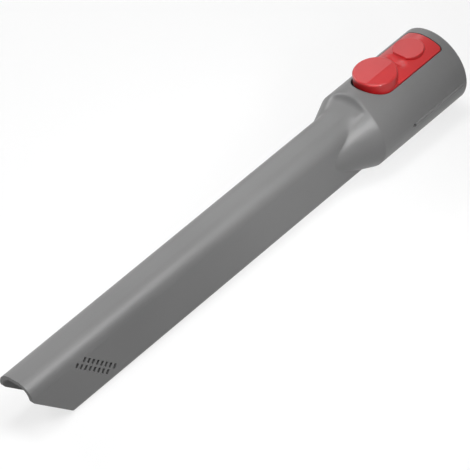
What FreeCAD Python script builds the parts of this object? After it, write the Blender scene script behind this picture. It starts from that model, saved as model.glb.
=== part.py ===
import FreeCAD, Part
import math
import os
import re
import Sketcher

# Crevice nozzle for a stick vacuum cleaner, in millimetres.
# X runs along the nozzle, with the socket's mouth at X = 0 and the suction tip at -X.
# Z points up through the release button, and the nozzle is the same on both sides of Y = 0.

SIZES = {
    # Overall form
    "nozzle_length": 295.0,
    "collar_diameter": 42.0,
    "collar_length": 62.6,
    "collar_rim_bevel": 0.7,
    "shoulder_length": 25.0,
    # Saddle where the top of the collar dips to the tube and the shoulder falls away on both sides
    "saddle_start": 57.4,
    "saddle_curve": 5.0,
    "saddle_steepness": 62.0,
    "saddle_fall": 17.0,
    # Flat suction tube
    "tube_width": 21.0,
    "tube_height": 33.2,
    "tube_wall": 2.0,
    "tube_top_round": 7.9,
    "tube_bottom_round": 3.5,
    "tube_inner_round": 1.5,
    # Suction tip: a short upright lip, a rounded corner and a slanted mouth
    "lip_height": 7.2,
    "tip_corner_round": 4.0,
    "mouth_slope": 46.0,
    # Bleed slots in the flat sides of the tip
    "slot_count": 8.0,
    "slot_pitch": 3.36,
    "slot_length": 2.5,
    "slot_width": 1.6,
    "slot_row_gap": 3.5,
    "slot_set_back": 33.8,
    "slot_drop": 8.4,
    # Socket and airway
    "socket_diameter": 32.5,
    "socket_depth": 38.0,
    "socket_wall": 1.2,
    "airway_diameter": 29.0,
    "airway_taper_start": 10.5,
    "airway_taper_end": 1.0,
    # Raised ribs along the sides of the collar
    "rib_width": 2.5,
    "rib_rise": 0.8,
    "rib_drop": 2.0,
    "rib_start": 4.0,
    "rib_length": 37.0,
    "rib_hole_diameter": 1.7,
    "rib_hole_depth": 1.0,
    # Window for the release button
    "window_width": 23.3,
    "window_rim_band": 5.0,
    "window_corner_round": 2.0,
    # Release button
    "thumb_pad_set_back": 42.6,
    "thumb_pad_inset": 0.05,
    "thumb_pad_rise": 3.2,
    "thumb_pad_round": 1.0,
    "disc_set_back": 17.6,
    "disc_diameter": 16.0,
    "disc_rise": 0.6,
    "disc_round": 0.4,
    "scoop_set_back": 27.6,
    "scoop_radius": 3.5,
    "scoop_depth": 2.1,
    "button_side_gap": 0.45,
    "button_rim_gap": 0.5,
    "button_tip_gap": 1.4,
    "button_floor_gap": 0.55,
    "button_travel_gap": 2.3,
    "button_plate_wall": 1.2,
    "button_step_set_back": 31.0,
    # Rocker pivot
    "pivot_set_back": 27.0,
    "pivot_height": 15.0,
    "pivot_diameter": 1.8,
    "pivot_clearance": 0.05,
    "pivot_reach": 1.2,
    "pivot_root": 0.1,
    "pivot_end_gap": 0.3,
    # Latch hook and the channel that it looks into
    "hook_width": 8.0,
    "hook_set_back": 8.0,
    "hook_length": 4.0,
    "hook_bore_gap": 0.2,
    "latch_side_gap": 0.5,
    "latch_end_gap": 2.0,
    "latch_depth": 1.95,
    # Return spring, its seat and its post
    "spring_diameter": 6.0,
    "spring_wire": 0.6,
    "spring_turns": 3.0,
    "spring_height": 5.0,
    "spring_end_gap": 0.05,
    "spring_recess_gap": 0.5,
    "spring_seat_margin": 0.4,
    "spring_seat_rise": 0.2,
    "spring_post_gap": 0.3,
    "spring_post_height": 1.5,
}

# Places that several features share, worked out from the sizes
COLLAR_RADIUS = "(collar_diameter / 2)"
SOCKET_RADIUS = "(socket_diameter / 2)"
AIRWAY_RADIUS = "(airway_diameter / 2)"
FLOOR_RADIUS = f"({SOCKET_RADIUS} + socket_wall)"
SHOULDER_END = "(collar_length + shoulder_length)"
WINDOW_HALF = "(window_width / 2)"
WINDOW_END_CENTRE = "(thumb_pad_set_back + button_tip_gap - button_side_gap)"
BUTTON_HALF = f"({WINDOW_HALF} - button_side_gap)"
BUTTON_RIM_END = "(window_rim_band + button_rim_gap)"
BUTTON_TIP_END = f"(thumb_pad_set_back + {BUTTON_HALF})"
SPRING_SEAT = f"({FLOOR_RADIUS} + spring_seat_rise)"
LATCH_HALF = "(hook_width / 2 + latch_side_gap)"
LATCH_TOP = f"({SOCKET_RADIUS} + latch_depth)"

doc = FreeCAD.newDocument("crevice_nozzle")
sheet = doc.addObject("Spreadsheet::Sheet", "Sizes")
for row, (alias, value) in enumerate(SIZES.items(), start=1):
    sheet.set(f"A{row}", alias)
    sheet.set(f"B{row}", str(value))
    sheet.setAlias(f"B{row}", alias)
doc.recompute()


def size(alias):
    return float(sheet.get(alias))


def linked(formula):
    """The formula with each size's name pointed at its cell in the sheet."""
    def point_at_cell(word):
        return f"Sizes.{word[0]}" if word[0] in SIZES else word[0]

    return re.sub(r"[a-z_]+", point_at_cell, formula)


def number(formula):
    """The formula's present value, used to draw a sketch close to its solved shape."""
    return float(sheet.evalExpression(linked(formula)))


def bind(thing, prop, formula):
    thing.setExpression(prop, linked(formula))


def origin_plane(body, role):
    return next(feature for feature in body.Origin.OriginFeatures if feature.Role == role)


def new_body(name):
    body = doc.addObject("PartDesign::Body", name)
    body.Label = name
    return body


def new_sketch(body, name, role, offset=None):
    """A sketch on one of the body's origin planes, moved along the plane's normal by the offset."""
    sketch = body.newObject("Sketcher::SketchObject", name)
    sketch.AttachmentSupport = [(origin_plane(body, role), "")]
    sketch.MapMode = "FlatFace"
    if offset:
        bind(sketch, "AttachmentOffset.Base.z", offset)
    return sketch


def constrain(sketch, formula, kind, *places):
    index = sketch.addConstraint(Sketcher.Constraint(kind, *places, number(formula)))
    bind(sketch, f"Constraints[{index}]", formula)


def pin(sketch, element, point, across, up):
    """Holds one point of an element at a place given by two formulas."""
    constrain(sketch, across, "DistanceX", -1, 1, element, point)
    constrain(sketch, up, "DistanceY", -1, 1, element, point)


def vector(across, up):
    return FreeCAD.Vector(number(across), number(up), 0)


def draw_outline(sketch, corners):
    """A closed outline of straight lines through the corners, each a pair of formulas."""
    first = sketch.GeometryCount
    count = len(corners)
    for step in range(count):
        start, end = corners[step], corners[(step + 1) % count]
        sketch.addGeometry(Part.LineSegment(vector(*start), vector(*end)), False)
    for step in range(count):
        following = first + (step + 1) % count
        sketch.addConstraint(Sketcher.Constraint("Coincident", first + step, 2, following, 1))
        pin(sketch, first + step, 1, *corners[step])


def bow(sketch, line, centre, radius):
    """Swaps one straight line of an outline for an arc about the centre, a pair of formulas."""
    chord = sketch.Geometry[line]
    start, end, middle = chord.StartPoint, chord.EndPoint, vector(*centre)
    outward = ((start + end) / 2 - middle).normalize()
    arc = sketch.addGeometry(Part.Arc(start, middle + outward * number(radius), end), False)
    drawn = sketch.Geometry[arc]
    runs_along = (drawn.StartPoint - start).Length < (drawn.EndPoint - start).Length
    first_point, last_point = (1, 2) if runs_along else (2, 1)
    sketch.toggleConstruction(line)
    sketch.addConstraint(Sketcher.Constraint("Coincident", arc, first_point, line, 1))
    sketch.addConstraint(Sketcher.Constraint("Coincident", arc, last_point, line, 2))
    constrain(sketch, radius, "Radius", arc)


def draw_circle(sketch, across, up, radius):
    circle = Part.Circle(vector(across, up), FreeCAD.Vector(0, 0, 1), number(radius))
    element = sketch.addGeometry(circle, False)
    constrain(sketch, radius, "Radius", element)
    pin(sketch, element, 3, across, up)


def draw_smooth_loop(sketch, arcs):
    """A closed outline of arcs, anticlockwise, joined by the straight lines that touch them.

    Each arc is its centre and radius as formulas, then its first and last direction in quarter turns.
    """
    quarter = math.pi / 2
    elements = []
    for across, up, radius, first, last in arcs:
        circle = Part.Circle(vector(across, up), FreeCAD.Vector(0, 0, 1), number(radius))
        arc = Part.ArcOfCircle(circle, first * quarter, last * quarter)
        elements.append(sketch.addGeometry(arc, False))
    for step, element in enumerate(elements):
        following = elements[(step + 1) % len(elements)]
        line = Part.LineSegment(sketch.Geometry[element].EndPoint, sketch.Geometry[following].StartPoint)
        side = sketch.addGeometry(line, False)
        sketch.addConstraint(Sketcher.Constraint("Tangent", element, 2, side, 1))
        sketch.addConstraint(Sketcher.Constraint("Tangent", side, 2, following, 1))
    for element, (across, up, radius, _, _) in zip(elements, arcs):
        constrain(sketch, radius, "Radius", element)
        pin(sketch, element, 3, across, up)


def draw_rounded(sketch, left, right, bottom, top, low_round, top_round):
    """A closed outline of four sides, with one radius for the lower corners and one for the upper."""
    arcs = [
        (f"{right} - {low_round}", f"{bottom} + {low_round}", low_round, -1, 0),
        (f"{right} - {top_round}", f"{top} - {top_round}", top_round, 0, 1),
        (f"{left} + {top_round}", f"{top} - {top_round}", top_round, 1, 2),
        (f"{left} + {low_round}", f"{bottom} + {low_round}", low_round, 2, 3),
    ]
    draw_smooth_loop(sketch, arcs)


def draw_round_ended(sketch, rim_end, tip_centre, half_width):
    """The button's plan: two rounded corners at the rim end, a half circle at the tip end."""
    corner = "window_corner_round"
    corner_x = f"-{rim_end} - {corner}"
    corner_y = f"({half_width} - {corner})"
    arcs = [
        (corner_x, f"-{corner_y}", corner, -1, 0),
        (corner_x, corner_y, corner, 0, 1),
        (f"-{tip_centre}", "0", half_width, 1, 3),
    ]
    draw_smooth_loop(sketch, arcs)


def turned(body, kind, name, sketch, angle=360):
    """A Revolution or a Groove about the nozzle's own axis."""
    feature = body.newObject(f"PartDesign::{kind}", name)
    feature.Profile = sketch
    feature.ReferenceAxis = (sketch, ["H_Axis"])
    feature.Midplane = angle < 360
    feature.Angle = angle
    doc.recompute()
    return feature


def raised(body, kind, name, sketch, length, backwards=False, both_ways=False):
    """A Pad or a Pocket of the sketch."""
    feature = body.newObject(f"PartDesign::{kind}", name)
    feature.Profile = sketch
    bind(feature, "Length", length)
    feature.Reversed = backwards
    feature.Midplane = both_ways
    doc.recompute()
    return feature


def mirrored(body, name, feature):
    """The same feature again on the other side of Y = 0."""
    copy = body.newObject("PartDesign::Mirrored", name)
    copy.Originals = [feature]
    copy.MirrorPlane = (origin_plane(body, "XZ_Plane"), [""])
    body.Tip = copy
    doc.recompute()
    return copy


def eased(body, kind, name, is_wanted, prop, amount):
    """A Fillet or a Chamfer on the edges of the body's present shape that pass the test."""
    base = body.Tip
    names = [f"Edge{index}" for index, edge in enumerate(base.Shape.Edges, start=1) if is_wanted(edge)]
    feature = body.newObject(f"PartDesign::{kind}", name)
    feature.Base = (base, names)
    bind(feature, prop, amount)
    doc.recompute()
    return feature


# Nozzle body: collar, shoulder and flat tube, moulded in one piece
def make_nozzle_body():
    body = new_body("nozzle_body")
    make_outer_form(body)
    make_button_bay(body)
    make_airway(body)
    make_suction_tip(body)
    make_collar_ribs(body)
    make_pivot_holes(body)
    make_latch_channel(body)
    make_rim_bevel(body)
    return body


def make_outer_form(body):
    profile = new_sketch(body, "collar_profile", "XZ_Plane")
    corners = [
        ("0", "0"),
        ("0", COLLAR_RADIUS),
        ("-collar_length", COLLAR_RADIUS),
        (f"-{SHOULDER_END}", "tube_width / 2"),
        (f"-{SHOULDER_END}", "0"),
    ]
    draw_outline(profile, corners)
    turned(body, "Revolution", "collar_and_shoulder", profile)
    saddle = new_sketch(body, "saddle_profile", "XZ_Plane")
    draw_saddle(saddle)
    raised(body, "Pocket", "shoulder_saddle", saddle, "2 * collar_diameter", both_ways=True)
    section = new_sketch(body, "tube_section", "YZ_Plane")
    sides = ("-tube_width / 2", "tube_width / 2", "-tube_height / 2", "tube_height / 2")
    draw_rounded(section, *sides, "tube_bottom_round", "tube_top_round")
    raised(body, "Pad", "flat_tube", section, "nozzle_length", backwards=True)


def draw_saddle(saddle):
    """What the saddle takes off: a soft step down from the collar's top, then a gentle fall."""
    steep, fall = "(saddle_steepness * 1 deg)", "(saddle_fall * 1 deg)"
    crest = ("-saddle_start", COLLAR_RADIUS)
    crest_centre = (crest[0], f"({COLLAR_RADIUS} - saddle_curve)")
    turn = (
        f"({crest[0]} - saddle_curve * sin({steep}))",
        f"({crest_centre[1]} + saddle_curve * cos({steep}))",
    )
    foot_centre = (
        f"({turn[0]} - saddle_curve * sin({steep}))",
        f"({turn[1]} + saddle_curve * cos({steep}))",
    )
    foot = (
        f"({foot_centre[0]} + saddle_curve * sin({fall}))",
        f"({foot_centre[1]} - saddle_curve * cos({fall}))",
    )
    far = "-(collar_length + 2 * shoulder_length)"
    low = f"{foot[1]} - ({foot[0]} + collar_length + 2 * shoulder_length) * tan({fall})"
    above = "collar_diameter"
    draw_outline(saddle, [crest, turn, foot, (far, low), (far, above), (crest[0], above)])
    crest_line, foot_line = 0, 1
    bow(saddle, crest_line, crest_centre, "saddle_curve")
    bow(saddle, foot_line, foot_centre, "saddle_curve")


def make_button_bay(body):
    """Window in the collar, with the socket's own wall as its floor and a seat for the spring."""
    plan = new_sketch(body, "window_plan", "XY_Plane")
    draw_round_ended(plan, "window_rim_band", WINDOW_END_CENTRE, WINDOW_HALF)
    raised(body, "Pocket", "button_window", plan, "collar_diameter", backwards=True)
    liner = new_sketch(body, "liner_profile", "XZ_Plane")
    liner_end = f"-({WINDOW_END_CENTRE} + {WINDOW_HALF} + socket_wall)"
    draw_outline(liner, [("0", "0"), ("0", FLOOR_RADIUS), (liner_end, FLOOR_RADIUS), (liner_end, "0")])
    turned(body, "Revolution", "socket_liner", liner)
    seat = new_sketch(body, "spring_seat_plan", "XY_Plane")
    draw_circle(seat, "-thumb_pad_set_back", "0", "spring_diameter / 2 + spring_seat_margin")
    raised(body, "Pad", "spring_seat", seat, SPRING_SEAT)
    post = new_sketch(body, "spring_post_plan", "XY_Plane")
    draw_circle(post, "-thumb_pad_set_back", "0", "spring_diameter / 2 - spring_wire - spring_post_gap")
    raised(body, "Pad", "spring_post", post, f"{SPRING_SEAT} + spring_post_height")


def make_airway(body):
    bore = new_sketch(body, "airway_profile", "XZ_Plane")
    taper_end = f"-({SHOULDER_END} - airway_taper_end)"
    corners = [
        ("0", "0"),
        ("0", SOCKET_RADIUS),
        ("-socket_depth", SOCKET_RADIUS),
        ("-socket_depth", AIRWAY_RADIUS),
        ("-(collar_length + airway_taper_start)", AIRWAY_RADIUS),
        (taper_end, "tube_width / 2 - tube_wall"),
        (taper_end, "0"),
    ]
    draw_outline(bore, corners)
    turned(body, "Groove", "socket_and_airway", bore)
    section = new_sketch(body, "tube_inside_section", "YZ_Plane", "-collar_length")
    half_width = "(tube_width / 2 - tube_wall)"
    half_height = "(tube_height / 2 - tube_wall)"
    sides = (f"-{half_width}", half_width, f"-{half_height}", half_height)
    top_round = "max(tube_top_round - tube_wall; tube_inner_round)"
    draw_rounded(section, *sides, "tube_inner_round", top_round)
    raised(body, "Pocket", "tube_inside", section, "nozzle_length")


def make_suction_tip(body):
    """Slanted mouth below a short upright lip, and the bleed slots beside it."""
    cut = new_sketch(body, "mouth_cut", "XZ_Plane")
    draw_mouth_cut(cut)
    raised(body, "Pocket", "slanted_mouth", cut, "2 * tube_width", both_ways=True)
    slots = new_sketch(body, "bleed_slots", "XZ_Plane")
    slant = FreeCAD.Rotation(FreeCAD.Vector(0, 0, 1), -size("mouth_slope"))
    slots.AttachmentOffset = FreeCAD.Placement(FreeCAD.Vector(), slant)
    bind(slots, "AttachmentOffset.Base.x", "slot_set_back - nozzle_length")
    bind(slots, "AttachmentOffset.Base.y", "tube_height / 2 - slot_drop")
    bind(slots, "AttachmentOffset.Rotation.Angle", "-mouth_slope")
    for row in range(2):
        across, up = f"-{row} * slot_pitch", f"-{row} * slot_row_gap"
        left, right = f"{across} - slot_width / 2", f"{across} + slot_width / 2"
        low, high = f"{up} - slot_length / 2", f"{up} + slot_length / 2"
        draw_outline(slots, [(left, low), (right, low), (right, high), (left, high)])
    pocket = raised(body, "Pocket", "first_bleed_slots", slots, "2 * tube_width", both_ways=True)
    row = body.newObject("PartDesign::LinearPattern", "bleed_slot_rows")
    row.Originals = [pocket]
    row.Direction = (slots, ["H_Axis"])
    bind(row, "Length", "slot_pitch * (slot_count - 1)")
    bind(row, "Occurrences", "slot_count")
    body.Tip = row
    doc.recompute()


def draw_mouth_cut(cut):
    """What the mouth takes off: everything ahead of the rounded corner and below the slanted edge."""
    arc_height = "(tube_height / 2 - lip_height)"
    front = "-nozzle_length"
    ahead = "-(nozzle_length + tube_width)"
    centre = (f"{front} + tip_corner_round", arc_height)
    slant_start = (
        f"{front} + tip_corner_round * (1 - sin(mouth_slope * 1 deg))",
        f"{arc_height} - tip_corner_round * cos(mouth_slope * 1 deg)",
    )
    below = "-tube_height"
    slant_run = f"(({slant_start[1]}) + tube_height) / tan(mouth_slope * 1 deg)"
    corners = [
        (front, arc_height),
        slant_start,
        (f"{slant_start[0]} + {slant_run}", below),
        (ahead, below),
        (ahead, arc_height),
    ]
    draw_outline(cut, corners)
    corner_line = 0
    bow(cut, corner_line, centre, "tip_corner_round")


def make_collar_ribs(body):
    ribs = new_sketch(body, "rib_section", "YZ_Plane", "-rib_start")
    centre_radius = f"({COLLAR_RADIUS} + rib_rise - rib_width / 2)"
    across = f"sqrt({centre_radius}^2 - rib_drop^2)"
    draw_circle(ribs, f"-{across}", "-rib_drop", "rib_width / 2")
    draw_circle(ribs, across, "-rib_drop", "rib_width / 2")
    raised(body, "Pad", "collar_ribs", ribs, "rib_length", backwards=True)
    hole = new_sketch(body, "rib_hole_plan", "XZ_Plane", f"{COLLAR_RADIUS} - rib_hole_depth")
    draw_circle(hole, "-(rib_start + rib_length)", "-rib_drop", "rib_hole_diameter / 2")
    near_hole = raised(body, "Pocket", "near_rib_hole", hole, "rib_hole_depth + rib_rise", backwards=True)
    mirrored(body, "rib_holes", near_hole)


def make_pivot_holes(body):
    hole = new_sketch(body, "pivot_hole_plan", "XZ_Plane", BUTTON_HALF)
    draw_circle(hole, "-pivot_set_back", "pivot_height", "pivot_diameter / 2 + pivot_clearance")
    depth = "button_side_gap + pivot_reach + pivot_end_gap"
    near_hole = raised(body, "Pocket", "near_pivot_hole", hole, depth, backwards=True)
    mirrored(body, "pivot_holes", near_hole)


def make_latch_channel(body):
    """Slot at the top of the socket, through which the hook meets the tube's catch."""
    plan = new_sketch(body, "latch_channel_plan", "XY_Plane")
    end = "-(hook_set_back + hook_length + latch_end_gap)"
    near_side, far_side = f"-{LATCH_HALF}", LATCH_HALF
    draw_outline(plan, [("0", near_side), ("0", far_side), (end, far_side), (end, near_side)])
    raised(body, "Pocket", "latch_channel", plan, LATCH_TOP, backwards=True)


def make_rim_bevel(body):
    rim_radius = number(COLLAR_RADIUS)
    near = 0.001

    def is_outer_rim(edge):
        curve = edge.Curve
        on_mouth = abs(edge.BoundBox.XMin) < near and abs(edge.BoundBox.XMax) < near
        return on_mouth and isinstance(curve, Part.Circle) and abs(curve.Radius - rim_radius) < near

    half_wall = f"({COLLAR_RADIUS} - sqrt({LATCH_TOP}^2 + {LATCH_HALF}^2)) / 2"
    eased(body, "Chamfer", "rim_bevel", is_outer_rim, "Size", f"min(collar_rim_bevel; {half_wall})")


# Release button: a rocker with a raised thumb pad, two pivot stubs and a latch hook
def make_release_button():
    body = new_body("release_button")
    pad_top = f"({COLLAR_RADIUS} + thumb_pad_rise)"
    disc_top = f"({COLLAR_RADIUS} + disc_rise)"
    pad = new_sketch(body, "thumb_pad_plan", "XY_Plane")
    draw_circle(pad, "-thumb_pad_set_back", "0", f"{BUTTON_HALF} - thumb_pad_inset")
    raised(body, "Pad", "thumb_pad", pad, pad_top)
    disc = new_sketch(body, "disc_plan", "XY_Plane")
    draw_circle(disc, "-disc_set_back", "0", "disc_diameter / 2")
    raised(body, "Pad", "raised_disc", disc, disc_top)
    plate = new_sketch(body, "plate_profile", "XZ_Plane")
    rim_end, tip_end = f"-{BUTTON_RIM_END}", f"-{BUTTON_TIP_END}"
    top = COLLAR_RADIUS
    draw_outline(plate, [(rim_end, "0"), (rim_end, top), (tip_end, top), (tip_end, "0")])
    turned(body, "Revolution", "curved_plate", plate)
    trim_button_plan(body)
    scoop = new_sketch(body, "scoop_profile", "XZ_Plane")
    draw_circle(scoop, "-scoop_set_back", f"{COLLAR_RADIUS} - scoop_depth + scoop_radius", "scoop_radius")
    raised(body, "Pocket", "finger_scoop", scoop, "window_width", both_ways=True)
    hollow_button(body)
    make_hook_and_stubs(body)
    round_top(body, "disc_edge", disc_top, "disc_round")
    round_top(body, "thumb_pad_edge", pad_top, "thumb_pad_round")
    return body


def trim_button_plan(body):
    """Everything outside the button's plan goes, and the half below the axis with it."""
    surround = new_sketch(body, "button_plan", "XY_Plane")
    reach = "collar_diameter"
    far = "-(2 * collar_diameter + thumb_pad_set_back)"
    draw_outline(surround, [(reach, f"-{reach}"), (reach, reach), (far, reach), (far, f"-{reach}")])
    draw_round_ended(surround, BUTTON_RIM_END, "thumb_pad_set_back", BUTTON_HALF)
    raised(body, "Pocket", "button_outline", surround, "2 * collar_diameter", backwards=True)
    low = new_sketch(body, "lower_half", "XY_Plane")
    draw_outline(low, [(reach, f"-{reach}"), (reach, reach), (far, reach), (far, f"-{reach}")])
    raised(body, "Pocket", "button_lower_side", low, "2 * collar_diameter")


def hollow_button(body):
    """Underside that clears the bay's floor by more under the thumb pad, where the button goes down."""
    underside = new_sketch(body, "underside_profile", "XZ_Plane")
    rim_end, tip_end = f"-({BUTTON_RIM_END} - button_rim_gap)", f"-({BUTTON_TIP_END} + button_tip_gap)"
    step = "-button_step_set_back"
    shallow = f"{FLOOR_RADIUS} + button_floor_gap"
    deep = f"min({FLOOR_RADIUS} + button_travel_gap; {COLLAR_RADIUS} - button_plate_wall)"
    corners = [
        (rim_end, "0"),
        (rim_end, shallow),
        (step, shallow),
        (step, deep),
        (tip_end, deep),
        (tip_end, "0"),
    ]
    draw_outline(underside, corners)
    turned(body, "Groove", "button_underside", underside)
    recess = new_sketch(body, "spring_recess_plan", "XY_Plane")
    draw_circle(recess, "-thumb_pad_set_back", "0", "spring_diameter / 2 + spring_recess_gap")
    depth = f"{SPRING_SEAT} + spring_height + 2 * spring_end_gap"
    raised(body, "Pocket", "spring_recess", recess, depth, backwards=True)


def make_hook_and_stubs(body):
    shallow = f"({FLOOR_RADIUS} + button_floor_gap)"
    hook = new_sketch(body, "hook_profile", "XZ_Plane")
    tip_height = f"{SOCKET_RADIUS} + hook_bore_gap"
    root_height = f"({shallow} + {COLLAR_RADIUS}) / 2"
    mouth_side, tube_side = "-hook_set_back", "-(hook_set_back + hook_length)"
    ramp_end = "-(hook_set_back + hook_length / 2)"
    corners = [
        (mouth_side, root_height),
        (tube_side, root_height),
        (tube_side, tip_height),
        (ramp_end, tip_height),
    ]
    draw_outline(hook, corners)
    raised(body, "Pad", "latch_hook", hook, "hook_width", both_ways=True)
    stub = new_sketch(body, "pivot_stub_plan", "XZ_Plane", f"{BUTTON_HALF} - pivot_root")
    draw_circle(stub, "-pivot_set_back", "pivot_height", "pivot_diameter / 2")
    near_stub = raised(body, "Pad", "near_pivot_stub", stub, "pivot_root + button_side_gap + pivot_reach")
    mirrored(body, "pivot_stubs", near_stub)


def round_top(body, name, top, radius):
    """Rounds the edges that lie flat at the height of the formula."""
    height = number(top)
    near = 0.001

    def is_top_edge(edge):
        return abs(edge.BoundBox.ZMin - height) < near and abs(edge.BoundBox.ZMax - height) < near

    eased(body, "Fillet", name, is_top_edge, "Radius", radius)


def wire_section(coil_radius):
    """The wire's section at the coil's first end, as an eight-sided outline of the wire's width."""
    sides = 8
    corner_radius = size("spring_wire") / 2 / math.cos(math.pi / sides)
    points = []
    for step in range(sides + 1):
        angle = (step + 0.5) * 2 * math.pi / sides
        across, up = corner_radius * math.cos(angle), corner_radius * math.sin(angle)
        points.append(FreeCAD.Vector(coil_radius + across, 0, up))
    return Part.makePolygon(points)


# Return spring: an open coil between the bay's floor and the thumb pad
def make_button_spring():
    """Half turns of wire, each an arc in a plane that leans by half a pitch, so that they join."""
    radius = number("(spring_diameter - spring_wire) / 2")
    half_turns = round(2 * size("spring_turns"))
    rise = number("spring_height - spring_wire") / half_turns
    arcs = []
    for step in range(half_turns):
        side = 1 if step % 2 == 0 else -1
        start = FreeCAD.Vector(side * radius, 0, step * rise)
        middle = FreeCAD.Vector(0, side * math.hypot(radius, rise / 2), (step + 0.5) * rise)
        end = FreeCAD.Vector(-side * radius, 0, (step + 1) * rise)
        arcs.append(Part.Arc(start, middle, end).toShape())
    coil = Part.Wire(arcs).makePipeShell([wire_section(radius)], True, False)
    spring = doc.addObject("Part::Feature", "button_spring")
    spring.Label = "button_spring"
    spring.Shape = coil
    bind(spring, "Placement.Base.x", "-thumb_pad_set_back")
    bind(spring, "Placement.Base.z", f"{SPRING_SEAT} + spring_end_gap + spring_wire / 2")
    doc.recompute()
    return spring


parts = [make_nozzle_body(), make_release_button(), make_button_spring()]
doc.recompute()

for thing in doc.Objects:
    if "Invalid" in thing.State or "Error" in thing.State:
        raise RuntimeError(f"{thing.Label} failed: {thing.State}")
for part in parts:
    if part.Shape.isNull() or not part.Shape.isValid() or len(part.Shape.Solids) != 1:
        raise RuntimeError(f"{part.Label} is not one valid solid")

os.makedirs("parts", exist_ok=True)
for part in parts:
    part.Shape.exportStep(f"parts/{part.Label}.step")
    box = part.Shape.BoundBox
    print(part.Label, f"volume {part.Shape.Volume:.1f}")
    print(part.Label, f"{box.XLength:.1f} x {box.YLength:.1f} x {box.ZLength:.1f}")
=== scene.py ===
import bpy
import bmesh
import math
from mathutils import Matrix, Vector


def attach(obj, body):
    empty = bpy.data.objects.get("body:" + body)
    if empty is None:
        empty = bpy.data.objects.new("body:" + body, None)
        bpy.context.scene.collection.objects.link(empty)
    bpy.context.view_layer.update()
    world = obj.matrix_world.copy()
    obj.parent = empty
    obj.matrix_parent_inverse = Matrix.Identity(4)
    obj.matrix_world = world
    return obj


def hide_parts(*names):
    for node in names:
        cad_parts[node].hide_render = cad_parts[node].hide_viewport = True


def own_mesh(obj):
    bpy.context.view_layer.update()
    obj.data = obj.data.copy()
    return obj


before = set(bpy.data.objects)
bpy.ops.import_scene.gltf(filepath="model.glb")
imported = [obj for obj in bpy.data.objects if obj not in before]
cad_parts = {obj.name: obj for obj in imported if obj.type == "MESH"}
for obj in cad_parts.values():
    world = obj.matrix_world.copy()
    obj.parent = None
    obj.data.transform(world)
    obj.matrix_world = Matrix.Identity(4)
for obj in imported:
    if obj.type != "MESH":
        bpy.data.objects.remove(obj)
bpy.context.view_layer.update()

MM = 0.001
WHITE = (1.0, 1.0, 1.0, 1.0)

# View of the photograph, in the nozzle's own frame
IMAGE_SIZE = 470
SENSOR_WIDTH = 36.0
CAMERA_AZIMUTH = -41.205
CAMERA_ELEVATION = 41.072
CAMERA_ROLL = -9.71
CAMERA_DISTANCE = 1.584842
CAMERA_REACH = 20.0
FOCAL_PIXELS = 3334.127
AIM_POINT = Vector((-0.150, 0.0, 0.0))
AIM_PIXEL = (233.273, 229.613)

# The nozzle lies on its collar and on the lower corner of its mouth
COLLAR_RADIUS = 21.0 * MM
COLLAR_END = -62.6 * MM
MOUTH_LOW_CORNER = Vector((-271.45 * MM, 0.0, -16.6 * MM))
FLOOR_REACH = 4.0

# Flat tube and the shoulder that joins it to the collar
TUBE_HALF_WIDTH = 10.5 * MM
TUBE_HALF_HEIGHT = 16.6 * MM
TUBE_TOP_ROUND = 7.9 * MM
TUBE_BOTTOM_ROUND = 3.5 * MM
INNER_TOP = 15.2 * MM
SHOULDER_LENGTH = 25.0 * MM
SKIN_RIM = -57.2 * MM
SKIN_TIP = -88.6 * MM
SKIN_SEAM = 0.3 * MM
SKIN_STEP = 0.45 * MM
SKIN_RING = 216
SADDLE_CREST = (-62.6 * MM, 18.8 * MM)
SADDLE_STEEPNESS = math.radians(64.0)
SADDLE_FOOT = (-64.8 * MM, 17.2 * MM)
SADDLE_FALL = math.radians(17.0)
SADDLE_EASE = 3.0 * MM
CREST_EASE = 1.2 * MM
CREASE_EASE_TOP = 2.4 * MM
CREASE_EASE_SIDE = 0.2 * MM
CREASE_FADE = 4
EDGE_ROUND = 0.3 * MM
SHARP_ANGLE = math.radians(32.0)
MERGE_DISTANCE = 0.002 * MM
CUT_DISTANCE = 0.0002 * MM
SLIVER = 0.01 * MM
OUTWARD_SHARE = 0.02
SADDLE_LEAST_UP = 0.1

# Thumb pad and finger scoop of the release button
PAD_PLACE = -42.6 * MM
PAD_RADIUS = 11.3 * MM
PAD_TOP_ZONE = 22.9 * MM
PAD_CREASE = -3.0 * MM
PAD_TILT = math.radians(6.0)
SCOOP_RIM_END = -23.4 * MM
SCOOP_TIP_END = -31.2 * MM
SCOOP_FLOOR = 17.0 * MM
SCOOP_HALF = 9.0 * MM
SCOOP_CUT = 0.7 * MM

# Satin grey plastic: tones, and sizes per metre of its grain and of its flow marks
GREY_DARK = (0.130, 0.130, 0.130)
GREY_LIGHT = (0.140, 0.140, 0.140)
GREY_SPECK = (0.22, 0.22, 0.22, 1.0)
GREY_ROUGHNESS = 0.34
GRAIN_SCALE = 2600.0
GRAIN_DETAIL = 4.0
GRAIN_HARSHNESS = 0.6
GRAIN_TINT = 0.06
GRAIN_ROUGHNESS = 0.08
GRAIN_STRENGTH = 0.08
GRAIN_HEIGHT = 0.12 * MM
FLOW_SCALE = 18.0
FLOW_RANGE = (0.35, 0.65)
FLOW_ROUGHNESS = 0.04
EDGE_SAMPLES = 6
PLASTIC_IOR = 1.5

# Gloss red plastic
RED_DARK = (0.44, 0.010, 0.012)
RED_LIGHT = (0.48, 0.013, 0.015)
RED_ROUGHNESS = 0.26
RED_FLOW_SCALE = 60.0
RED_FLOW_RANGE = (0.3, 0.7)
RIPPLE_SCALE = 420.0
RIPPLE_ROUGHNESS = 0.06
RIPPLE_STRENGTH = 0.05
RIPPLE_HEIGHT = 0.1 * MM

# Spring wire
STEEL_DARK = (0.46, 0.46, 0.48)
STEEL_LIGHT = (0.64, 0.64, 0.66)
STEEL_ROUGHNESS = 0.24
MARK_SCALE = 5200.0
MARK_RANGE = (0.2, 0.8)
MARK_DETAIL = 3.0
MARK_HARSHNESS = 0.7
MARK_ROUGHNESS = 0.16

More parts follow.
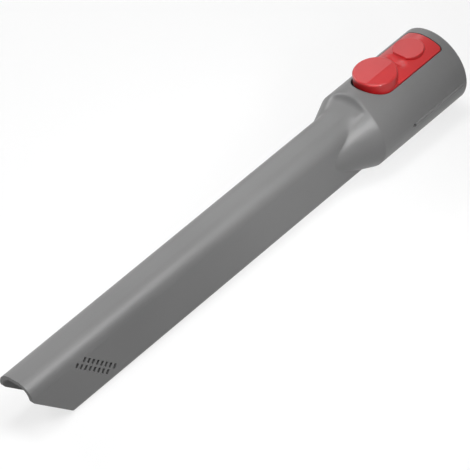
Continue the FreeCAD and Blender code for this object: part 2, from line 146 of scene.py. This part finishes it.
# Floor: its tones in the light that it throws back, and its colour where it is seen
FLOOR_DARK = (0.31, 0.31, 0.31)
FLOOR_LIGHT = (0.33, 0.33, 0.33)
FLOOR_SEEN = (0.88, 0.88, 0.88, 1.0)
MOTTLE_SCALE = 3.0
MOTTLE_RANGE = (0.2, 0.8)
SOFT_DETAIL = 2.0

# Share of paper white in the floor that the camera sees, and the world's light
FLOOR_PAPER = 0.74
WORLD_LIGHT = 0.03

# Soft lamps: name, place, point that it faces, size, power, spread of its beam in degrees
LAMPS = (
    ("overhead", (-0.15, 0.0, 1.4), (-0.15, 0.0, 0.0), 0.5, 8.8, 180.0),
    ("far_side", (-0.15, 1.19, 0.74), (-0.15, 0.0, 0.0), 0.5, 7.5, 180.0),
    ("rim_side", (0.67, 0.91, 0.82), (-0.03, 0.0, 0.02), 0.4, 1.0, 180.0),
    ("tip_side", (-1.08, -0.54, 0.90), (-0.15, 0.0, 0.0), 0.5, 2.2, 180.0),
    ("tube_light", (-0.14, -0.25, 0.36), (-0.29, 0.0, 0.01), 0.36, 0.42, 80.0),
    ("shoulder_light", (-0.173, -0.342, 0.215), (-0.088, -0.01, 0.01), 0.1, 0.036, 34.0),
)


class Shade:
    """A shader socket that takes part in Python sums: each operator adds its Math node."""

    def __init__(self, tree, socket):
        self.tree = tree
        self.socket = socket

    def maths(self, operation, first, second):
        node = self.tree.nodes.new("ShaderNodeMath")
        node.operation = operation
        for place, value in enumerate((first, second)):
            if isinstance(value, Shade):
                self.tree.links.new(value.socket, node.inputs[place])
            else:
                node.inputs[place].default_value = value
        return Shade(self.tree, node.outputs[0])

    def sibling(self, name):
        return Shade(self.tree, self.socket.node.outputs[name])

    def __add__(self, other):
        return self.maths("ADD", self, other)

    def __radd__(self, other):
        return self.maths("ADD", other, self)

    def __sub__(self, other):
        return self.maths("SUBTRACT", self, other)

    def __rsub__(self, other):
        return self.maths("SUBTRACT", other, self)

    def __mul__(self, other):
        return self.maths("MULTIPLY", self, other)

    def __rmul__(self, other):
        return self.maths("MULTIPLY", other, self)


class Finish:
    """The node tree of a material or of the world, with one method that adds any node."""

    def __init__(self, owner):
        owner.use_nodes = True
        self.owner = owner
        self.tree = owner.node_tree
        self.tree.nodes.clear()

    def add(self, kind, settings=None, sockets=None, output=0):
        node = self.tree.nodes.new(f"ShaderNode{kind}")
        for setting, value in (settings or {}).items():
            if setting == "stops":
                self.set_stops(node.color_ramp, value)
            else:
                setattr(node, setting, value)
        for place, value in (sockets or {}).items():
            if isinstance(value, Shade):
                self.tree.links.new(value.socket, node.inputs[place])
            else:
                node.inputs[place].default_value = value
        return Shade(self.tree, node.outputs[output]) if node.outputs else None

    @staticmethod
    def set_stops(ramp, stops):
        while len(ramp.elements) < len(stops):
            ramp.elements.new(1.0)
        for element, (place, colour) in zip(ramp.elements, stops):
            element.position = place
            element.color = (*colour, 1.0)

    def blend(self, factor, first, second):
        """A colour between two colours."""
        return self.add("Mix", {"data_type": "RGBA"}, {0: factor, 6: first, 7: second}, 2)

    def noise(self, scale, detail, roughness=0.5):
        where = self.add("TexCoord", output="Object")
        sockets = {"Vector": where, "Scale": scale, "Detail": detail, "Roughness": roughness}
        return self.add("TexNoise", sockets=sockets)

    def ramp(self, factor, reach, dark, light):
        """A colour that goes from dark to light between two values of the factor."""
        stops = tuple(zip(reach, (dark, light)))
        return self.add("ValToRGB", {"stops": stops}, {"Fac": factor})

    def seen(self):
        """1 for rays that show a surface: to the camera, in a reflection or through glass."""
        path = self.add("LightPath", output="Is Camera Ray")
        return path + path.sibling("Is Glossy Ray") + path.sibling("Is Transmission Ray")

    def surface(self, sockets):
        shader = self.add("BsdfPrincipled", sockets=sockets)
        self.add("OutputMaterial", sockets={"Surface": shader})
        return self.owner


def moulded_grey():
    """Satin grey plastic with the fine spark-eroded grain of the mould."""
    finish = Finish(bpy.data.materials.new("body_grey"))
    grain = finish.noise(GRAIN_SCALE, GRAIN_DETAIL, GRAIN_HARSHNESS)
    flow = finish.noise(FLOW_SCALE, SOFT_DETAIL)
    tone = finish.ramp(flow, FLOW_RANGE, GREY_DARK, GREY_LIGHT)
    speck = finish.blend(grain * GRAIN_TINT, tone, GREY_SPECK)
    edge = finish.add("Bevel", {"samples": EDGE_SAMPLES}, {"Radius": EDGE_ROUND})
    relief = {"Strength": GRAIN_STRENGTH, "Distance": GRAIN_HEIGHT, "Height": grain, "Normal": edge}
    bump = finish.add("Bump", sockets=relief)
    rough = GREY_ROUGHNESS + GRAIN_ROUGHNESS * grain + FLOW_ROUGHNESS * flow
    return finish.surface({"Base Color": speck, "Roughness": rough, "Normal": bump, "IOR": PLASTIC_IOR})


def gloss_red():
    """Clear bright red plastic with a polished skin."""
    finish = Finish(bpy.data.materials.new("button_red"))
    flow = finish.noise(RED_FLOW_SCALE, SOFT_DETAIL)
    tone = finish.ramp(flow, RED_FLOW_RANGE, RED_DARK, RED_LIGHT)
    ripple = finish.noise(RIPPLE_SCALE, SOFT_DETAIL)
    relief = {"Strength": RIPPLE_STRENGTH, "Distance": RIPPLE_HEIGHT, "Height": ripple}
    bump = finish.add("Bump", sockets=relief)
    rough = RED_ROUGHNESS + RIPPLE_ROUGHNESS * ripple
    return finish.surface({"Base Color": tone, "Roughness": rough, "Normal": bump, "IOR": PLASTIC_IOR})


def drawn_steel():
    """Bright spring wire with fine drawing marks."""
    finish = Finish(bpy.data.materials.new("spring_steel"))
    marks = finish.noise(MARK_SCALE, MARK_DETAIL, MARK_HARSHNESS)
    tone = finish.ramp(marks, MARK_RANGE, STEEL_DARK, STEEL_LIGHT)
    rough = STEEL_ROUGHNESS + MARK_ROUGHNESS * marks
    return finish.surface({"Base Color": tone, "Metallic": 1.0, "Roughness": rough})


def pale_floor():
    """Studio white that keeps the nozzle's shadow, mixed with paper white where it is seen."""
    finish = Finish(bpy.data.materials.new("pale_floor"))
    mottle = finish.noise(MOTTLE_SCALE, SOFT_DETAIL)
    tone = finish.ramp(mottle, MOTTLE_RANGE, FLOOR_DARK, FLOOR_LIGHT)
    seen = finish.seen()
    matte = finish.add("BsdfDiffuse", sockets={"Color": finish.blend(seen, tone, FLOOR_SEEN)})
    paper = finish.add("Emission", sockets={"Color": WHITE, "Strength": 1.0})
    share = seen * FLOOR_PAPER
    both = finish.add("MixShader", sockets={0: share, 1: matte, 2: paper})
    finish.add("OutputMaterial", sockets={"Surface": both})
    return finish.owner


def make_world():
    """White where it is seen, and an even soft light on everything."""
    finish = Finish(bpy.data.worlds.new("studio"))
    soft = finish.add("Background", sockets={"Color": WHITE, "Strength": WORLD_LIGHT})
    paper = finish.add("Background", sockets={"Color": WHITE, "Strength": 1.0})
    both = finish.add("MixShader", sockets={0: finish.seen(), 1: soft, 2: paper})
    finish.add("OutputWorld", sockets={"Surface": both})
    bpy.context.scene.world = finish.owner


def new_object(name, mesh_builder, material):
    mesh = bpy.data.meshes.new(name)
    shape = bmesh.new()
    mesh_builder(shape)
    shape.to_mesh(mesh)
    shape.free()
    mesh.materials.append(material)
    piece = bpy.data.objects.new(name, mesh)
    bpy.context.scene.collection.objects.link(piece)
    return piece


def merged_copy(shape, node):
    """The triangles of a CAD node, joined at their corners."""
    shape.from_mesh(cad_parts[node].data)
    bmesh.ops.remove_doubles(shape, verts=shape.verts, dist=MERGE_DISTANCE)


def soften(shape):
    """Smooth shading, broken at the edges that are sharp."""
    for face in shape.faces:
        face.smooth = True
    for edge in shape.edges:
        edge.smooth = edge.calc_face_angle(0.0) < SHARP_ANGLE


def soft_most(first, second, ease):
    """The larger of two lengths, with a hollow round where they meet."""
    near = max(ease - abs(first - second), 0.0) / ease
    return max(first, second) + near * near * ease / 4


def soft_least(first, second, ease):
    """The smaller of two lengths, with a full round where they meet."""
    return -soft_most(-first, -second, ease)


def tube_reach(angle):
    """Distance from the axis to the flat tube's outside, at an angle from the top."""
    out = Vector((abs(math.sin(angle)), math.cos(angle)))
    round_off = TUBE_TOP_ROUND if out.y > 0 else TUBE_BOTTOM_ROUND
    core = Vector((TUBE_HALF_WIDTH - round_off, TUBE_HALF_HEIGHT - round_off))
    inside, outside = 0.0, COLLAR_RADIUS
    while outside - inside > MERGE_DISTANCE:
        middle = (inside + outside) / 2
        past = Vector((out.x * middle - core.x, abs(out.y) * middle - core.y))
        beyond = Vector((max(past.x, 0.0), max(past.y, 0.0))).length + min(max(past.x, past.y), 0.0)
        inside, outside = (inside, middle) if beyond > round_off else (middle, outside)
    return middle


def saddle_height(place):
    """Height of the saddle's profile: a soft step down from the collar, then a gentle fall."""
    step = SADDLE_CREST[1] + (place - SADDLE_CREST[0]) * math.tan(SADDLE_STEEPNESS)
    fall = SADDLE_FOOT[1] + (place - SADDLE_FOOT[0]) * math.tan(SADDLE_FALL)
    return soft_most(step, fall, SADDLE_EASE)


def shoulder_reach(place, angle, tube):
    """Distance from the axis to the shoulder's outside: cone, saddle and tube in one."""
    slope = (COLLAR_RADIUS - TUBE_HALF_WIDTH) / SHOULDER_LENGTH
    cone = COLLAR_RADIUS - slope * max(COLLAR_END - place, 0.0)
    upward = math.cos(angle)
    if upward > SADDLE_LEAST_UP:
        cone = soft_least(cone, saddle_height(place) / upward, CREST_EASE)
    share = max(upward, 0.0) ** CREASE_FADE
    return soft_most(tube, cone, CREASE_EASE_SIDE + (CREASE_EASE_TOP - CREASE_EASE_SIDE) * share)


def is_old_skin(face):
    """True on the outside of the shoulder between the two cuts."""
    middle = face.calc_center_median()
    radial = Vector((0.0, middle.y, middle.z)).normalized()
    is_outside = face.normal.dot(radial) > OUTWARD_SHARE or middle.z > INNER_TOP
    return SKIN_TIP < middle.x < SKIN_RIM and is_outside


def open_edges(shape, place):
    """Edges with one face at a cut across the axis."""
    return [
        edge for edge in shape.edges
        if edge.is_boundary and all(abs(vert.co.x - place) < MERGE_DISTANCE for vert in edge.verts)
    ]


def soft_shoulder(shape):
    """The nozzle with the outside of its shoulder grown again as one soft skin."""
    merged_copy(shape, "nozzle_body")
    for place in (SKIN_RIM, SKIN_TIP):
        everything = shape.verts[:] + shape.edges[:] + shape.faces[:]
        cut = {"plane_co": (place, 0.0, 0.0), "plane_no": (1.0, 0.0, 0.0)}
        bmesh.ops.bisect_plane(shape, geom=everything, dist=CUT_DISTANCE, **cut)
    shape.normal_update()
    old_skin = [face for face in shape.faces if is_old_skin(face)]
    bmesh.ops.delete(shape, geom=old_skin, context="FACES")
    rim_loop, tip_loop = open_edges(shape, SKIN_RIM), open_edges(shape, SKIN_TIP)

    facing_x = Matrix.Rotation(math.radians(90.0), 4, "Y")
    circle = {"segments": SKIN_RING, "radius": COLLAR_RADIUS, "matrix": facing_x}
    ring = bmesh.ops.create_circle(shape, **circle)["verts"]
    edges = list({edge for vert in ring for edge in vert.link_edges})
    first, last = SKIN_RIM - SKIN_SEAM, SKIN_TIP + SKIN_SEAM
    steps = round((first - last) / SKIN_STEP)
    skin = []
    first_edges = edges
    for step in range(steps + 1):
        place = first + (last - first) * step / steps
        if step:
            grown = bmesh.ops.extrude_edge_only(shape, edges=edges)["geom"]
            new_edges = [part for part in grown if isinstance(part, bmesh.types.BMEdge)]
            edges = [edge for edge in new_edges if edge.is_boundary]
            skin += [part for part in grown if isinstance(part, bmesh.types.BMFace)]
            ring = [part for part in grown if isinstance(part, bmesh.types.BMVert)]
        for vert in ring:
            angle = math.atan2(-vert.co.y, vert.co.z)
            reach = shoulder_reach(place, angle, tube_reach(angle))
            vert.co = (place, -math.sin(angle) * reach, math.cos(angle) * reach)
    skin += bmesh.ops.bridge_loops(shape, edges=rim_loop + first_edges)["faces"]
    skin += bmesh.ops.bridge_loops(shape, edges=tip_loop + edges)["faces"]
    shape.normal_update()
    inward = []
    for face in skin:
        radial = Vector((0.0, *face.calc_center_median().yz))
        if face.normal.dot(radial) < 0:
            inward.append(face)
    bmesh.ops.reverse_faces(shape, faces=inward)
    soften(shape)


def is_on_crease(point):
    return point.z > PAD_TOP_ZONE and abs(point.y - PAD_CREASE) < MERGE_DISTANCE


def tilt_thumb_pad(shape):
    """Gives the thumb pad its crease: the near part of its top leans towards the side."""
    def in_pad_top(vert):
        off_centre = Vector((vert.co.x - PAD_PLACE, vert.co.y)).length
        return vert.co.z > PAD_TOP_ZONE and off_centre < PAD_RADIUS

    top = [face for face in shape.faces if all(in_pad_top(vert) for vert in face.verts)]
    parts = list({part for face in top for part in (*face.verts, *face.edges, face)})
    bmesh.ops.bisect_plane(shape, geom=parts, plane_co=(0.0, PAD_CREASE, 0.0), plane_no=(0.0, 1.0, 0.0))
    for vert in shape.verts:
        if in_pad_top(vert) and vert.co.y < PAD_CREASE:
            vert.co.z -= (PAD_CREASE - vert.co.y) * math.tan(PAD_TILT)


def fade_scoop(shape):
    """Lets the finger scoop run out before it reaches the button's long edges."""
    def in_scoop(face):
        middle = face.calc_center_median()
        is_between = SCOOP_TIP_END < middle.x < SCOOP_RIM_END
        return is_between and middle.z > SCOOP_FLOOR and face.normal.z > 0.0

    for turn in range(2):
        reach = (SCOOP_TIP_END, SCOOP_RIM_END) if turn == 0 else (-SCOOP_HALF, SCOOP_HALF)
        cuts = round((reach[1] - reach[0]) / SCOOP_CUT)
        normal = Vector((1.0, 0.0, 0.0)) if turn == 0 else Vector((0.0, 1.0, 0.0))
        for cut in range(cuts + 1):
            shape.normal_update()
            faces = [face for face in shape.faces if in_scoop(face)]
            parts = list({part for face in faces for part in (*face.verts, *face.edges, face)})
            place = normal * (reach[0] + (reach[1] - reach[0]) * cut / cuts)
            bmesh.ops.bisect_plane(shape, geom=parts, plane_co=place, plane_no=normal)
    shape.normal_update()
    for vert in {vert for face in shape.faces if in_scoop(face) for vert in face.verts}:
        plate = math.sqrt(COLLAR_RADIUS ** 2 - vert.co.y ** 2)
        depth = max(plate - vert.co.z, 0.0)
        out = min(abs(vert.co.y) / SCOOP_HALF, 1.0)
        vert.co.z += depth * (1.0 - (1.0 - out ** 2) ** 2)


def soft_button(shape):
    """The button with its creased thumb pad and its short scoop."""
    merged_copy(shape, "release_button")
    tilt_thumb_pad(shape)
    fade_scoop(shape)
    bmesh.ops.dissolve_degenerate(shape, dist=SLIVER, edges=shape.edges)
    soften(shape)
    for edge in shape.edges:
        if all(is_on_crease(vert.co) for vert in edge.verts):
            edge.smooth = False


def return_coil(shape):
    """The return spring's coil, as the CAD has it."""
    merged_copy(shape, "button_spring")
    soften(shape)


def stand_for(node, name, mesh_builder, material, body):
    """A softer copy that replaces a CAD node and moves with its body."""
    piece = new_object(name, mesh_builder, material)
    old_normals = piece.data.attributes.get("custom_normal")
    if old_normals:
        piece.data.attributes.remove(old_normals)
    even = piece.modifiers.new("even_normals", "WEIGHTED_NORMAL")
    even.keep_sharp = True
    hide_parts(node)
    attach(piece, body)
    return piece


def make_floor():
    """A floor that touches the collar's underside and the mouth's lower corner."""
    collar_low = Vector((COLLAR_END, 0.0, -COLLAR_RADIUS))
    along = (collar_low - MOUTH_LOW_CORNER).normalized()
    lean = math.atan2(-along.z, along.x)

    def build(shape):
        bmesh.ops.create_grid(shape, x_segments=1, y_segments=1, size=FLOOR_REACH)
        bmesh.ops.rotate(shape, verts=shape.verts, matrix=Matrix.Rotation(lean, 3, "Y"))
        bmesh.ops.translate(shape, verts=shape.verts, vec=collar_low)

    new_object("floor", build, pale_floor())


def direction(azimuth, elevation):
    """Unit vector at an azimuth from -Y towards +X and an elevation, in degrees."""
    azimuth, elevation = math.radians(azimuth), math.radians(elevation)
    level = math.cos(elevation)
    return Vector((math.sin(azimuth) * level, -math.cos(azimuth) * level, math.sin(elevation)))


def make_camera():
    azimuth, roll = math.radians(CAMERA_AZIMUTH), math.radians(CAMERA_ROLL)
    back = direction(CAMERA_AZIMUTH, CAMERA_ELEVATION)
    right = Vector((math.cos(azimuth), math.sin(azimuth), 0.0))
    up = back.cross(right)
    turned_right = math.cos(roll) * right + math.sin(roll) * up
    turned_up = -math.sin(roll) * right + math.cos(roll) * up
    middle = IMAGE_SIZE / 2
    per_pixel = CAMERA_DISTANCE / FOCAL_PIXELS
    place = AIM_POINT + back * CAMERA_DISTANCE
    place -= turned_right * (AIM_PIXEL[0] - middle) * per_pixel
    place += turned_up * (AIM_PIXEL[1] - middle) * per_pixel
    data = bpy.data.cameras.new("camera")
    data.sensor_width = SENSOR_WIDTH
    data.lens = FOCAL_PIXELS / IMAGE_SIZE * SENSOR_WIDTH
    data.clip_end = CAMERA_REACH
    camera = bpy.data.objects.new("camera", data)
    turn = Matrix((turned_right, turned_up, back)).transposed()
    camera.matrix_world = Matrix.Translation(place) @ turn.to_4x4()
    bpy.context.scene.collection.objects.link(camera)
    bpy.context.scene.camera = camera


def make_lamp(name, place, aim, size, power, spread):
    data = bpy.data.lights.new(name, "AREA")
    data.shape = "DISK"
    data.size = size
    data.energy = power
    data.spread = math.radians(spread)
    lamp = bpy.data.objects.new(name, data)
    lamp.location = place
    lamp.rotation_euler = (Vector(aim) - Vector(place)).to_track_quat("-Z", "Y").to_euler()
    lamp.visible_camera = False
    bpy.context.scene.collection.objects.link(lamp)


stand_for("nozzle_body", "nozzle_shell", soft_shoulder, moulded_grey(), "body")
stand_for("release_button", "rocker_button", soft_button, gloss_red(), "button")
coil = stand_for("button_spring", "return_coil", return_coil, drawn_steel(), "body")
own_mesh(coil)
make_floor()
make_camera()
make_world()
for lamp in LAMPS:
    make_lamp(*lamp)

bpy.context.scene.view_settings.view_transform = "Standard"
